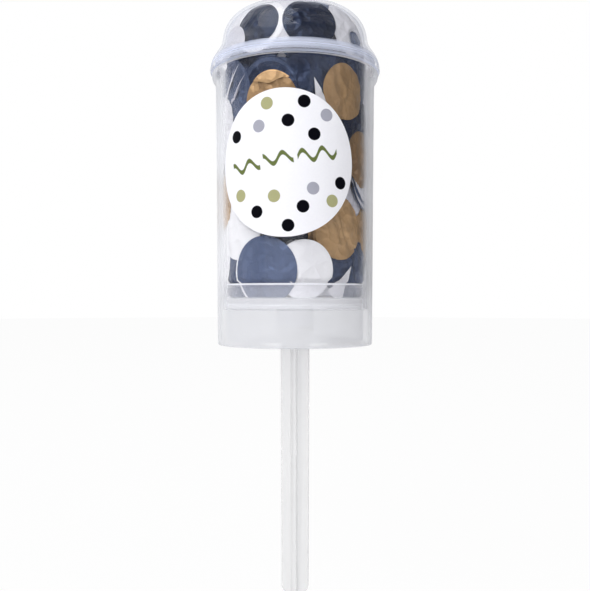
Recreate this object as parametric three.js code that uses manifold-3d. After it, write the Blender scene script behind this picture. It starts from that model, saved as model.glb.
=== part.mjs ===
// Confetti push pop: a clear barrel with a push-on dome lid, a piston cup on a push stick, a round
// label on the front, and loose tissue discs that the piston drives out past the lid.
// Millimetres, +Z up, origin at the tip of the stick, front towards -Y (the label's middle).

import * as THREE from "three";
import { mergeVertices } from "three/addons/utils/BufferGeometryUtils.js";
import Module from "manifold-3d";

// Running gap between neighbouring pieces that don't move, or that only slide past each other.
const clearance = 0.3;
const roundSteps = 48;

// Push stick, a cross of two ribs.
const stickExposed = 76;
const stickWidthTop = 8.8;
const stickWidthTip = 8.1;
const stickRibThickness = 1.8;
const stickTipCorner = 2.8;
const stickFlangeThickness = 1.2;
const stickFlangeOverhang = 1.15;

// Barrel, heights measured from its bottom face.
const barrelHeight = 85.4;
const barrelFootRadius = 23.4;
const barrelTopRadius = 23.95;
const barrelWall = 1.1;
const barrelFootCorner = 0.6;
const footSectionHeight = 10.7;
const footLedgeDepth = 1.7;
const footWebThickness = 1.4;
const stickHoleRadius = 10.5;

// Collar on the barrel that stops the lid's skirt, and the neck above it.
const collarStep = 1.3;
const collarFlareHeight = 3.2;
const collarLandHeight = 0.5;
const neckHeight = 4.0;
const neckWall = 1.05;
const neckBead = 0.2;
const neckBeadHeight = 1.0;
const neckBeadRise = 2.4;
const lipBevel = 0.35;

// Dome lid. Its shoulder starts a drop below the barrel's mouth and sweeps in to the dome; the
// shares say how far up that sweep its outer and inner curves are pulled out and in.
const lidWall = 0.8;
const lidSkirtWall = 1.3;
const lidSkirtBevel = 0.4;
const lidShoulderDrop = 2.5;
const lidShoulderHeight = 8.6;
const lidShoulderBulge = 0.43;
const lidShoulderHollow = 0.65;
const lidInnerHollow = 0.77;
const lidDomeRadius = 22.0;
const lidCornerRadius = 9.0;
const lidCrown = 0.8;

// Piston cup.
const pistonRimHeight = 4.4;
const pistonFloorThickness = 1.2;
const pistonSkirtHeight = 1.7;
const pistonWall = 1.0;
const pistonBead = 0.3;
const pistonBeadHeight = 0.9;
const hubLength = 7.3;
const hubWall = 0.9;

// Round label.
const labelRadius = 20.5;
const labelThickness = 0.15;
const labelGap = 0.12;
const labelTopGap = 5.8;
const labelSides = 56;

// Tissue discs: each solid is a few sheets that cling together.
const discRadius = 8.1;
const discThickness = 0.25;
const discSides = 24;
const layerGap = 0.35;
const layerPitch = discThickness + layerGap;
const fillHeadroom = 2.0;

const toRadians = THREE.MathUtils.degToRad;

// Heights that follow from the values above, from the barrel's bottom face.
const pistonSeat = footSectionHeight + clearance;
const pistonFloorTop = pistonSeat + pistonSkirtHeight + pistonFloorThickness;
const pistonRimTop = pistonFloorTop + pistonRimHeight;
const collarTop = barrelHeight - neckHeight;
const collarFlareTop = collarTop - collarLandHeight;
const collarFlareFoot = collarFlareTop - collarFlareHeight;
const labelHeight = collarFlareFoot - labelTopGap - labelRadius;
const lidFoot = collarTop + clearance;
const lidShoulderFoot = barrelHeight - lidShoulderDrop;
const lidShoulderTop = lidShoulderFoot + lidShoulderHeight;
const lidCeiling = lidShoulderTop + lidCornerRadius - lidWall;

// Radii that follow.
const barrelDraft = (barrelTopRadius - barrelFootRadius) / collarFlareFoot;
const barrelOuterAt = (height) => barrelFootRadius + barrelDraft * height;
const barrelInnerAt = (height) => barrelOuterAt(height) - barrelWall;
const footInnerRadius = barrelInnerAt(footSectionHeight) - footLedgeDepth;
const neckInnerRadius = barrelInnerAt(collarFlareFoot);
const neckRadius = neckInnerRadius + neckWall;
const collarRadius = neckRadius + collarStep;
const narrowestBore = Math.min(barrelInnerAt(footSectionHeight), neckInnerRadius);
const pistonRadius = narrowestBore - clearance;
const cupInnerRadius = pistonRadius - pistonBead - pistonWall;
const stickReach = Math.hypot(stickWidthTop / 2, stickRibThickness / 2);
const hubBore = stickReach + clearance;
const hubRadius = hubBore + hubWall;
const skirtInnerRadius = neckRadius + neckBead + clearance;
const lidWidestRadius = skirtInnerRadius + lidSkirtWall;
const lidFlatRadius = lidDomeRadius - lidCornerRadius;

const clearPlastic = new THREE.MeshStandardMaterial({
  color: 0xe9eaf0, roughness: 0.12, metalness: 0, transparent: true, opacity: 0.35,
});
const milkyPlastic = new THREE.MeshStandardMaterial({
  color: 0xe4e6e9, roughness: 0.3, metalness: 0, transparent: true, opacity: 0.6,
});
const labelPaper = new THREE.MeshStandardMaterial({ color: 0xfbfbfd, roughness: 0.35, metalness: 0 });
const tissue = {
  navy: new THREE.MeshStandardMaterial({ color: 0x2c3248, roughness: 0.75, metalness: 0 }),
  gold: new THREE.MeshStandardMaterial({ color: 0xa5793c, roughness: 0.5, metalness: 0.3 }),
  white: new THREE.MeshStandardMaterial({ color: 0xf1f0f6, roughness: 0.85, metalness: 0 }),
};

// A closed outline of [radius, height] points turned about +Z.
function turned(outline) {
  const points = outline.map(([radius, height]) => new THREE.Vector2(radius, height));
  return new THREE.LatheGeometry(points, roundSteps).rotateX(Math.PI / 2);
}

// Points along a curve in (radius, height), without its first point.
function along(curve, steps) {
  return curve.getPoints(steps).slice(1).map((point) => [point.x, point.y]);
}

const vector = (radius, height) => new THREE.Vector2(radius, height);

// The barrel's outline: foot with its web and hole, ledge, wall, neck, collar and back down.
function barrelGeometry() {
  const beadMiddle = collarTop + neckBeadRise;
  const outline = [
    [stickHoleRadius, 0],
    [barrelFootRadius - barrelFootCorner, 0],
    ...along(
      new THREE.QuadraticBezierCurve(
        vector(barrelFootRadius - barrelFootCorner, 0),
        vector(barrelFootRadius, 0),
        vector(barrelOuterAt(barrelFootCorner), barrelFootCorner),
      ),
      3,
    ),
    [barrelTopRadius, collarFlareFoot],
    ...along(
      new THREE.CubicBezierCurve(
        vector(barrelTopRadius, collarFlareFoot),
        vector(barrelTopRadius, collarFlareFoot + collarFlareHeight / 2),
        vector(collarRadius, collarFlareTop - collarFlareHeight / 2),
        vector(collarRadius, collarFlareTop),
      ),
      4,
    ),
    [collarRadius, collarTop],
    [neckRadius, collarTop],
    [neckRadius, beadMiddle - neckBeadHeight / 2],
    [neckRadius + neckBead, beadMiddle],
    [neckRadius, beadMiddle + neckBeadHeight / 2],
    [neckRadius, barrelHeight - lipBevel],
    [neckRadius - lipBevel, barrelHeight],
    [neckInnerRadius, barrelHeight],
    [neckInnerRadius, collarFlareFoot],
    [barrelInnerAt(footSectionHeight), footSectionHeight],
    [footInnerRadius, footSectionHeight],
    [footInnerRadius, footWebThickness],
    [stickHoleRadius, footWebThickness],
    [stickHoleRadius, 0],
  ];
  return turned(outline);
}

// The dome's rounded corner and its shallow parabolic crown, from the wall up to the axis, drawn
// `inset` millimetres inside the lid's outer face.
function domeFace(inset) {
  const corner = lidCornerRadius - inset;
  const arc = new THREE.EllipseCurve(lidFlatRadius, lidShoulderTop, corner, corner, 0, Math.PI / 2);
  const crownAt = (share) => [
    lidFlatRadius * share,
    lidShoulderTop + corner + lidCrown * (1 - share ** 2),
  ];
  return [...along(arc, 6), crownAt(0.5), crownAt(0)];
}

// A plain skirt that slips over the neck and stops on the collar, a swept shoulder and the dome.
function lidGeometry() {
  const { lerp } = THREE.MathUtils;
  const innerRadius = lidDomeRadius - lidWall;
  const innerShoulderFoot = barrelHeight - lipBevel;
  const outerShoulder = new THREE.CubicBezierCurve(
    vector(lidWidestRadius, lidShoulderFoot),
    vector(lidWidestRadius, lerp(lidShoulderFoot, lidShoulderTop, lidShoulderBulge)),
    vector(lidDomeRadius, lerp(lidShoulderFoot, lidShoulderTop, lidShoulderHollow)),
    vector(lidDomeRadius, lidShoulderTop),
  );
  const innerShoulder = new THREE.QuadraticBezierCurve(
    vector(skirtInnerRadius, innerShoulderFoot),
    vector(innerRadius, lerp(innerShoulderFoot, lidShoulderTop, lidInnerHollow)),
    vector(innerRadius, lidShoulderTop),
  );
  const outer = [
    [lidWidestRadius - lidSkirtBevel, lidFoot],
    [lidWidestRadius, lidFoot + lidSkirtBevel],
    [lidWidestRadius, lidShoulderFoot],
    ...along(outerShoulder, 5),
    ...domeFace(0),
  ];
  const inner = [
    [skirtInnerRadius, lidFoot],
    [skirtInnerRadius, innerShoulderFoot],
    ...along(innerShoulder, 4),
    ...domeFace(lidWall),
  ];
  return turned([...inner.reverse(), ...outer]);
}

// Cup above a floor, a short skirt that lands on the barrel's ledge, and the hub for the stick.
function pistonGeometry() {
  const floorFoot = pistonFloorTop - pistonFloorThickness;
  const waist = pistonRadius - pistonBead;
  const hubFoot = floorFoot - hubLength;
  const outline = [
    [0, floorFoot],
    [hubBore, floorFoot],
    [hubBore, hubFoot],
    [hubRadius, hubFoot],
    [hubRadius, floorFoot],
    [waist - pistonWall, floorFoot],
    [waist - pistonWall, pistonSeat],
    [pistonRadius, pistonSeat],
    [pistonRadius, pistonSeat + pistonBeadHeight],
    [waist, pistonSeat + pistonBeadHeight + pistonBead],
    [waist, pistonRimTop - pistonBeadHeight - pistonBead],
    [pistonRadius, pistonRimTop - pistonBeadHeight],
    [pistonRadius - pistonBead / 2, pistonRimTop],
    [cupInnerRadius, pistonRimTop],
    [cupInnerRadius, pistonFloorTop],
    [0, pistonFloorTop],
  ];
  return turned(outline);
}

// One rib of the stick as a flat tapered blade with a rounded tip, standing across X.
function stickBlade(length) {
  const top = stickWidthTop / 2;
  const tip = stickWidthTip / 2;
  const blade = new THREE.Shape();
  blade.moveTo(-top, length);
  blade.lineTo(-tip, stickTipCorner);
  blade.absarc(-tip + stickTipCorner, stickTipCorner, stickTipCorner, Math.PI, 1.5 * Math.PI);
  blade.absarc(tip - stickTipCorner, stickTipCorner, stickTipCorner, 1.5 * Math.PI, 2 * Math.PI);
  blade.lineTo(top, length);
  const geometry = new THREE.ExtrudeGeometry(blade, {
    depth: stickRibThickness, bevelEnabled: false, curveSegments: 6,
  });
  return geometry.translate(0, 0, -stickRibThickness / 2).rotateX(Math.PI / 2);
}

const wasm = await Module();
wasm.setup();

function toSolid(geometry) {
  const bare = geometry.clone();
  bare.deleteAttribute("normal");
  bare.deleteAttribute("uv");
  const merged = mergeVertices(bare, 1e-4);
  return new wasm.Manifold(new wasm.Mesh({
    numProp: 3,
    vertProperties: new Float32Array(merged.attributes.position.array),
    triVerts: new Uint32Array(merged.index.array),
  }));
}

function toGeometry(solid) {
  const mesh = solid.getMesh();
  const geometry = new THREE.BufferGeometry();
  geometry.setAttribute("position", new THREE.BufferAttribute(mesh.vertProperties, 3));
  geometry.setIndex(new THREE.BufferAttribute(mesh.triVerts, 1));
  geometry.computeVertexNormals();
  return geometry;
}

// The stick stands on the origin; its top ends in the hub and its flange sits under the hub.
function stickGeometry() {
  const floorFoot = stickExposed + pistonFloorTop - pistonFloorThickness;
  const flangeTop = floorFoot - hubLength - clearance;
  const blade = stickBlade(floorFoot - clearance);
  const flangeRadius = stickReach + stickFlangeOverhang;
  const flange = turned([
    [0, flangeTop - stickFlangeThickness],
    [flangeRadius, flangeTop - stickFlangeThickness],
    [flangeRadius, flangeTop],
    [0, flangeTop],
  ]);
  const crossed = toSolid(blade).add(toSolid(blade.clone().rotateZ(Math.PI / 2)));
  return toGeometry(crossed.add(toSolid(flange)));
}

// A round sheet wrapped onto a cone or cylinder about +Z, its middle at the front and at `height`.
// A box with one face step per pair of rim points keeps every face on a straight, upright strip.
function wrappedSheet(radius, thickness, sides, height, surfaceRadiusAt) {
  const steps = sides / 2 - 1;
  const geometry = new THREE.BoxGeometry(1, 1, 1, steps, 1, 1);
  const position = geometry.getAttribute("position");
  for (let i = 0; i < position.count; i += 1) {
    const column = Math.round((position.getX(i) + 0.5) * steps);
    const rim = (Math.PI * (column + 0.5)) / (steps + 1);
    const across = -radius * Math.cos(rim);
    const up = 2 * position.getY(i) * radius * Math.sin(rim);
    const distance = surfaceRadiusAt(height + up) + (position.getZ(i) + 0.5) * thickness;
    const turn = across / surfaceRadiusAt(height);
    position.setXYZ(i, distance * Math.sin(turn), -distance * Math.cos(turn), up);
  }
  geometry.computeVertexNormals();
  return geometry;
}

function named(name, geometry, material) {
  const mesh = new THREE.Mesh(geometry, material);
  mesh.name = name;
  return mesh;
}

// The largest outer radius that a disc may have when it reaches from `low` to `high`.
function roomFor(low, high) {
  const limits = [
    barrelInnerAt(Math.max(low, footSectionHeight)),
    barrelInnerAt(Math.min(high, collarFlareFoot)),
  ];
  if (low < pistonRimTop + clearance) limits.push(cupInnerRadius);
  if (high > barrelHeight - clearance) limits.push(lidDomeRadius - lidWall);
  const intoCorner = high + clearance - lidShoulderTop;
  if (intoCorner > 0) {
    const corner = lidCornerRadius - lidWall;
    limits.push(lidFlatRadius + Math.sqrt(Math.max(corner ** 2 - intoCorner ** 2, 0)));
  }
  return Math.min(...limits) - clearance;
}

const fillFloor = pistonFloorTop + clearance;
const fillTop = lidCeiling - fillHeadroom;
const lowestMiddle = fillFloor + discRadius;
const highestMiddle = fillTop - discRadius;

// Discs that show in front: colour, degrees round from the label towards +X, and how high up the
// fill the disc's middle sits, from 0 on the piston's floor to 1 under the lid's ceiling.
const frontDiscs = [
  ["navy", -16, 0],
  ["white", -22, 0],
  ["white", 15, 0],
  ["navy", 53, 0],
  ["gold", 41.5, 0.16],
  ["white", -39.5, 0.17],
  ["white", -69, 0.09],
  ["gold", -69, 0.33],
  ["gold", 69.5, 0.45],
  ["gold", 47.5, 0.75],
  ["gold", -7.5, 0.69],
  ["navy", 22, 0.74],
  ["navy", -42, 0.74],
  ["white", 68, 0.31],
  ["white", -55, 0.53],
  ["navy", 76, 0.67],
  ["navy", 2, 0.3],
  ["navy", 17.5, 1],
  ["navy", -29.5, 0.99],
  ["white", -20, 1],
  ["white", 52, 0.98],
];

// Round the sides and back, the discs step on by the golden angle, at heights spread the same way.
const backColours = ["navy", "gold", "navy", "white", "navy", "navy", "white", "gold"];
const backDiscCount = 25;
const backStartDegrees = 88;
const backEndDegrees = 275;
const goldenShare = (Math.sqrt(5) - 1) / 2;
const backDiscs = Array.from({ length: backDiscCount }, (_, i) => {
  const round = (i * goldenShare) % 1;
  const share = ((i + 0.5) / backDiscCount + ((i * goldenShare * goldenShare) % 1)) % 1;
  const degrees = THREE.MathUtils.lerp(backStartDegrees, backEndDegrees, round);
  return [backColours[i % backColours.length], degrees, share];
});

// Each disc lies against the wall, or behind the discs already laid where it crosses them.
function layDiscs(wanted) {
  const laid = [];
  for (const [colour, degrees, share] of wanted) {
    const height = lowestMiddle + share * (highestMiddle - lowestMiddle);
    const azimuth = toRadians(degrees);
    let radius = roomFor(height - discRadius, height + discRadius) - discThickness;
    const inTheWay = () => laid.find((other) => {
      const turn = azimuth - other.azimuth;
      const shorterTurn = Math.atan2(Math.sin(turn), Math.cos(turn));
      const apart = Math.hypot(shorterTurn * radius, height - other.height);
      const gap = Math.abs(other.radius - radius) - discThickness;
      return gap < layerGap / 2 && apart < 2 * discRadius + layerGap;
    });
    for (let other = inTheWay(); other; other = inTheWay()) radius = other.radius - layerPitch;
    laid.push({ colour, azimuth, height, radius });
  }
  return laid;
}

const wallDiscs = layDiscs([...frontDiscs, ...backDiscs]);

// Flat discs lie in overlapping rings, on the piston's floor and inside the top of the fill.
const flatColours = ["white", "navy", "gold", "navy", "white"];
const floorDiscCount = 3;
const roofDiscCount = 5;
const roofHeight = fillTop - roofDiscCount * layerPitch;

// A ring's discs share one level if they lie clear of each other, and step up a layer each if not.
function layFlatDiscs(count, height) {
  const ringTop = height + count * layerPitch;
  const beside = wallDiscs.filter((disc) => (
    disc.height - discRadius < ringTop && disc.height + discRadius > height - layerPitch
  ));
  const room = Math.min(roomFor(height, ringTop), ...beside.map((disc) => disc.radius));
  const distance = room - layerGap - discRadius;
  const spacing = 2 * distance * Math.sin(Math.PI / count);
  const step = spacing < 2 * discRadius + layerGap ? layerPitch : 0;
  return Array.from({ length: count }, (_, i) => {
    const azimuth = (2 * Math.PI * i) / count;
    return { colour: flatColours[i], azimuth, height: height + i * step, distance };
  });
}

const flatDiscs = [
  ...layFlatDiscs(floorDiscCount, fillFloor + discThickness / 2),
  ...layFlatDiscs(roofDiscCount, roofHeight),
];

// Names count up within each colour.
const counts = { navy: 0, gold: 0, white: 0 };
function discName(colour) {
  counts[colour] += 1;
  return `confetti_${colour}_${String(counts[colour]).padStart(2, "0")}`;
}

function confetti() {
  const fill = new THREE.Group();
  for (const { colour, azimuth, height, radius } of wallDiscs) {
    const sheet = wrappedSheet(discRadius, discThickness, discSides, 0, () => radius);
    const disc = named(discName(colour), sheet, tissue[colour]);
    disc.rotation.z = azimuth;
    disc.position.z = height;
    fill.add(disc);
  }
  for (const { colour, azimuth, height, distance } of flatDiscs) {
    const sheet = new THREE.CylinderGeometry(discRadius, discRadius, discThickness, discSides);
    const disc = named(discName(colour), sheet.rotateX(Math.PI / 2), tissue[colour]);
    disc.position.set(distance * Math.sin(azimuth), -distance * Math.cos(azimuth), height);
    fill.add(disc);
  }
  return fill;
}

function label() {
  const onBarrel = (height) => barrelOuterAt(height) + labelGap;
  const sheet = wrappedSheet(labelRadius, labelThickness, labelSides, labelHeight, onBarrel);
  const mesh = named("front_label", sheet, labelPaper);
  mesh.position.z = labelHeight;
  return mesh;
}

const pushPop = new THREE.Group();
pushPop.add(named("push_stick", stickGeometry(), milkyPlastic));

const aboveStick = new THREE.Group();
aboveStick.position.z = stickExposed;
aboveStick.add(named("barrel", barrelGeometry(), clearPlastic));
aboveStick.add(named("dome_lid", lidGeometry(), clearPlastic));
aboveStick.add(named("piston_cup", pistonGeometry(), milkyPlastic));
aboveStick.add(label());
aboveStick.add(confetti());
pushPop.add(aboveStick);

export default pushPop;
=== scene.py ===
# %% [markdown]
# # A confetti push pop
# A push pop is a clear tube full of tissue discs. A stick drives a piston up the tube, and the
# discs push the dome lid off and fly out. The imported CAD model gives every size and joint. This
# file gives the looks: clear and milky plastic, a printed sticker and thin crumpled tissue.

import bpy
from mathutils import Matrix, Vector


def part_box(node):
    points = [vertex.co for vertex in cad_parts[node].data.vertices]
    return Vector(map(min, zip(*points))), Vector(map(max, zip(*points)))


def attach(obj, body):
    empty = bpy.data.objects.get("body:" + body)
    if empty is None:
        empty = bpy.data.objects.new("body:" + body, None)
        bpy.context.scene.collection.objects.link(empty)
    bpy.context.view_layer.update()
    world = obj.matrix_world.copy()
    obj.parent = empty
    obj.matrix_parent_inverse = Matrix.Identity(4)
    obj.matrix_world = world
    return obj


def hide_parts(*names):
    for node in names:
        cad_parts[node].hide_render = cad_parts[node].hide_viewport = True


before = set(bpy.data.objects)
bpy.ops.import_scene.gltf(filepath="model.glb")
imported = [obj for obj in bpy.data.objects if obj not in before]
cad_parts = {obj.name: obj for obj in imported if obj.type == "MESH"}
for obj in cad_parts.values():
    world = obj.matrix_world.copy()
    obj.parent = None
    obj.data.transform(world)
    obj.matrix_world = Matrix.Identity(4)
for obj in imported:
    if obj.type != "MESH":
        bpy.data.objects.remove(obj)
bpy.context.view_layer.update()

# %% What the rest of the file uses
import math
import random

import bmesh
import bpy
from mathutils import Matrix, Vector, noise
from mathutils.bvhtree import BVHTree

mm = 0.001

# %% [markdown]
# ## The camera
# The photograph was taken from close by, level with the lowest part of the tube, so the rings
# above the lens curve up and the foot's edge below it curves down. Perspective depends on the
# distance alone, so the distance is set first and the lens is then chosen to fill the frame. The
# sticker's middle faces a little away from the camera, which turns round the tube by a few degrees.

# %% Place the camera
def new_object(name, data):
    """An object in the scene that shows a mesh, a lamp or a camera."""
    made = bpy.data.objects.new(name, data)
    bpy.context.collection.objects.link(made)
    return made


camera_distance = 235 * mm
camera_height = 90.8 * mm
camera_turn = math.radians(7.5)
camera_lens = 46.9

camera = new_object("camera", bpy.data.cameras.new("camera"))
camera.data.lens = camera_lens
camera.location = (
    camera_distance * math.sin(camera_turn),
    -camera_distance * math.cos(camera_turn),
    camera_height,
)
camera.rotation_euler = (math.radians(90), 0, camera_turn)
bpy.context.scene.camera = camera
bpy.context.scene.view_settings.view_transform = "Standard"
print("camera", [round(value, 4) for value in camera.location])

# %% [markdown]
# ## A few words for node trees
# A material is a small graph. Typing each node and link out makes long code that hides the idea,
# so `add` makes one node, fills its inputs and joins the ones that are given as other nodes'
# outputs. A material then reads like a recipe.

# %% Helpers for materials
def add(tree, kind, inputs=None, **settings):
    """Adds a node; an input given as a socket is linked, and any other value is typed in."""
    made = tree.nodes.new(kind)
    for name, value in settings.items():
        setattr(made, name, value)
    for name, value in (inputs or {}).items():
        if isinstance(value, bpy.types.NodeSocket):
            tree.links.new(value, made.inputs[name])
        else:
            made.inputs[name].default_value = value
    return made


def maths(tree, operation, *values):
    """The result of a Math node, such as ADD, MULTIPLY or MAXIMUM."""
    return add(tree, "ShaderNodeMath", dict(enumerate(values)), operation=operation).outputs[0]


def rescaled(tree, value, source, target, smooth=True):
    """A value carried from one range to another, each given by its two ends, and held there."""
    return add(
        tree, "ShaderNodeMapRange",
        {"Value": value, "From Min": source[0], "From Max": source[1],
         "To Min": target[0], "To Max": target[1]},
        interpolation_type="SMOOTHSTEP" if smooth else "LINEAR",
    ).outputs["Result"]


def clouds(tree, place, scale, detail):
    """Soft noise between 0 and 1; a higher scale makes smaller clouds."""
    return add(
        tree, "ShaderNodeTexNoise", {"Vector": place, "Scale": scale, "Detail": detail},
    ).outputs[0]


def blended(tree, share, first, second):
    """A colour between two, by a share from 0 to 1."""
    return add(
        tree, "ShaderNodeMix", {"Factor": share, "A": first, "B": second}, data_type="RGBA",
    ).outputs["Result"]


def mixed(tree, share, first, second):
    """The second shader over the first, by a share from 0 to 1."""
    return add(tree, "ShaderNodeMixShader", {0: share, 1: first, 2: second}).outputs[0]


# %% Colours, and the start and end of a material
def srgb(red, green, blue):
    """A colour as a paint program shows it, 0 to 255, in the linear values that shaders use."""
    def linear(value):
        share = value / 255
        return share / 12.92 if share <= 0.04045 else ((share + 0.055) / 1.055) ** 2.4
    return (linear(red), linear(green), linear(blue), 1)


def new_tree(name):
    """An empty node material and its tree."""
    material = bpy.data.materials.new(name)
    material.use_nodes = True
    material.node_tree.nodes.clear()
    return material, material.node_tree


def finish_tree(tree, shader):
    """Joins the last shader to the material's or the world's output."""
    kind = "ShaderNodeOutputWorld" if tree == world.node_tree else "ShaderNodeOutputMaterial"
    add(tree, kind, {"Surface": shader})


# %% [markdown]
# ## The room
# Clear plastic is mostly what it reflects, so the room matters as much as the material. The
# backdrop is white, and the camera sees it at full white, also through glass. For mirror rays the
# side behind the camera is darker, as it is in a studio, and so is the right: reflections on the
# tube stay faint and the tissue shows through. Matt surfaces get a lower, even level of it.

# %% The world
world = bpy.data.worlds.new("studio")
bpy.context.scene.world = world
world.use_nodes = True
sky = world.node_tree
sky.nodes.clear()

room_fill = 0.3
room_front = 0.15
room_right = 0.3
front_fade = -0.75, 0.1
right_fade = -0.1, 0.6

rays = add(sky, "ShaderNodeLightPath").outputs
heading = add(sky, "ShaderNodeTexCoord").outputs["Generated"]
split = add(sky, "ShaderNodeSeparateXYZ", {"Vector": heading}).outputs
front_to_back = rescaled(sky, split["Y"], front_fade, (room_front, 1.0))
left_to_right = rescaled(sky, split["X"], right_fade, (1.0, room_right))
mirrored = maths(sky, "MULTIPLY", front_to_back, left_to_right)
seen = maths(sky, "MAXIMUM", rays["Is Camera Ray"], rays["Is Transmission Ray"])
unseen = add(
    sky, "ShaderNodeMix", {"Factor": rays["Is Glossy Ray"], "A": room_fill, "B": mirrored},
).outputs["Result"]
strength = maths(sky, "MAXIMUM", seen, unseen)
backdrop = add(sky, "ShaderNodeBackground", {"Color": (1, 1, 1, 1), "Strength": strength})
finish_tree(sky, backdrop.outputs[0])


# %% Lamps
lamp_target = (0, 0, 0.11)


def lamp(name, place, width, height, watts):
    """A soft rectangular lamp at a place, which faces the middle of the pop."""
    light = bpy.data.lights.new(name, "AREA")
    light.shape = "RECTANGLE"
    light.size = width
    light.size_y = height
    light.energy = watts
    ahead = Vector(lamp_target) - Vector(place)
    made = new_object(name, light)
    made.location = place
    made.rotation_euler = ahead.to_track_quat("-Z", "Y").to_euler()


lamp("key", (-0.4, -0.75, 0.9), 1.0, 1.0, 10.5)
lamp("fill", (0.75, -0.6, 0.6), 0.9, 0.9, 1.6)
lamp("left_window", (-0.85, 0.2, 0.16), 0.7, 0.9, 1.1)
lamp("table_bounce", (-0.1, -0.8, 0.0), 0.9, 0.4, 1.1)
print("lamps", [light.name for light in bpy.data.lights])

# %% [markdown]
# ## The floor
# The pop stands on the tip of its stick on a pale floor. A lit floor would come out greyer than
# the backdrop, so the camera, mirrors and glass see it mostly as white light, mixed with just
# enough of the real, shaded floor to keep the contact shadow.

# %% Make the floor
floor_reach = 3.0
floor_white = 0.96


def mesh_of(name, shape):
    """Turns a finished shape into a mesh."""
    mesh = bpy.data.meshes.new(name)
    shape.to_mesh(mesh)
    shape.free()
    return mesh


shape = bmesh.new()
bmesh.ops.create_circle(shape, cap_ends=True, segments=96, radius=floor_reach)
floor = new_object("floor", mesh_of("floor", shape))

floor_paint, tree = new_tree("floor_paint")
grain = add(tree, "ShaderNodeTexNoise", {"Scale": 90.0, "Detail": 4.0}).outputs[0]
paint = blended(tree, grain, srgb(240, 240, 242), srgb(246, 246, 247))
matt = add(tree, "ShaderNodeBsdfPrincipled", {"Base Color": paint, "Roughness": 0.8}).outputs[0]
rays = add(tree, "ShaderNodeLightPath").outputs
seen = maths(tree, "MAXIMUM", rays["Is Camera Ray"], rays["Is Transmission Ray"])
seen = maths(tree, "MAXIMUM", seen, rays["Is Glossy Ray"])
white = add(tree, "ShaderNodeEmission", {"Strength": 1.0}).outputs[0]
finish_tree(tree, mixed(tree, maths(tree, "MULTIPLY", seen, floor_white), matt, white))
floor.data.materials.append(floor_paint)
print("floor radius in metres:", floor_reach)

# %% [markdown]
# ## Turned plastic pieces
# The tube, the dome and the piston are injection moulded and round, so each is one outline turned
# about the axis. The CAD pieces have the right sizes with flat facets and sharp corners. Smooth
# shading alone would smear over the corners. Instead the CAD outline is cut out of the mesh with a
# plane, its corners are rounded as a mould's are, and it is spun again with many more steps.

# %% Cut the outline of a turned piece
same_place = 0.001 * mm
straight_turn = 0.01
corner_turn = math.radians(32)


def copy_of(node):
    """A copy of a CAD node's mesh as a shape, with its loose triangles joined."""
    shape = bmesh.new()
    shape.from_mesh(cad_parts[node].data)
    bmesh.ops.remove_doubles(shape, verts=shape.verts, dist=same_place)
    return shape


def outline_of(node):
    """Half the section of a turned CAD node, as a chain of edges in the XZ plane."""
    shape = copy_of(node)
    everything = shape.verts[:] + shape.edges[:] + shape.faces[:]
    bmesh.ops.bisect_plane(
        shape, geom=everything, dist=same_place, plane_co=(0, 0, 0), plane_no=(0, 1, 0),
        clear_inner=True, clear_outer=True,
    )
    bmesh.ops.bisect_plane(
        shape, geom=shape.verts[:] + shape.edges[:], dist=same_place,
        plane_co=(0, 0, 0), plane_no=(1, 0, 0), clear_inner=True,
    )
    return shape


def turn_at(vert):
    """How far the outline turns at a point, in radians; 0 at the two ends on the axis."""
    if len(vert.link_edges) != 2:
        return 0
    one, other = (edge.other_vert(vert).co - vert.co for edge in vert.link_edges)
    return math.pi - one.angle(other)


# %% Round the outline and spin it
def spin_round(shape, steps):
    """Spins a chain of edges all the way round the Z axis."""
    bmesh.ops.spin(
        shape, geom=shape.verts[:] + shape.edges[:], cent=(0, 0, 0), axis=(0, 0, 1),
        dvec=(0, 0, 0), angle=2 * math.pi, steps=steps, use_merge=True,
    )


def round_off(shape, verts, **size):
    """Rounds the outline at some of its points."""
    bmesh.ops.bevel(
        shape, geom=verts, affect="VERTICES", segments=3, profile=0.5, material=-1,
        clamp_overlap=True, **size,
    )


def turned_piece(name, node, corner, steps):
    """The CAD node's outline with round corners, spun into a smooth closed piece."""
    shape = outline_of(node)
    curved = [vert for vert in shape.verts if straight_turn < turn_at(vert) < corner_turn]
    round_off(shape, curved, offset=45, offset_type="PERCENT")
    sharp = [vert for vert in shape.verts if turn_at(vert) >= corner_turn]
    round_off(shape, sharp, offset=corner, offset_type="OFFSET")
    spin_round(shape, steps)
    return piece_from(name, shape, node)


def piece_from(name, shape, *nodes):
    """Closes and smooths a shape, makes it an object and hides the CAD nodes that it takes the place
    of.
    """
    bmesh.ops.remove_doubles(shape, verts=shape.verts, dist=same_place)
    bmesh.ops.recalc_face_normals(shape, faces=shape.faces)
    for face in shape.faces:
        face.smooth = True
    made = new_object(name, mesh_of(name, shape))
    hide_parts(*nodes)
    print(name, len(made.data.polygons), "faces")
    return made


# %% Tube, dome and piston
tube = turned_piece("clear_tube", "barrel", corner=0.12 * mm, steps=144)
dome = turned_piece("clear_dome", "dome_lid", corner=0.15 * mm, steps=144)
piston = turned_piece("milky_piston", "piston_cup", corner=0.12 * mm, steps=120)

# %% [markdown]
# ## The stick
# The stick is moulded as a cross of two ribs, which is stiff and cools fast. Its CAD solid has the
# right form, so a copy only needs the small round edges that a mould leaves. The copy's triangles
# are joined into flat faces first, or the bevel would follow their diagonals.

# %% Round the stick's edges
stick_edge = 0.22 * mm

shape = copy_of("push_stick")
bmesh.ops.dissolve_limit(shape, angle_limit=math.radians(1), verts=shape.verts, edges=shape.edges)
sharp_edges = [edge for edge in shape.edges if edge.calc_face_angle(0) > math.radians(40)]
bmesh.ops.bevel(
    shape, geom=sharp_edges, offset=stick_edge, affect="EDGES", segments=2, profile=0.5,
    material=-1, clamp_overlap=True,
)
stick = piece_from("milky_stick", shape, "push_stick")
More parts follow.
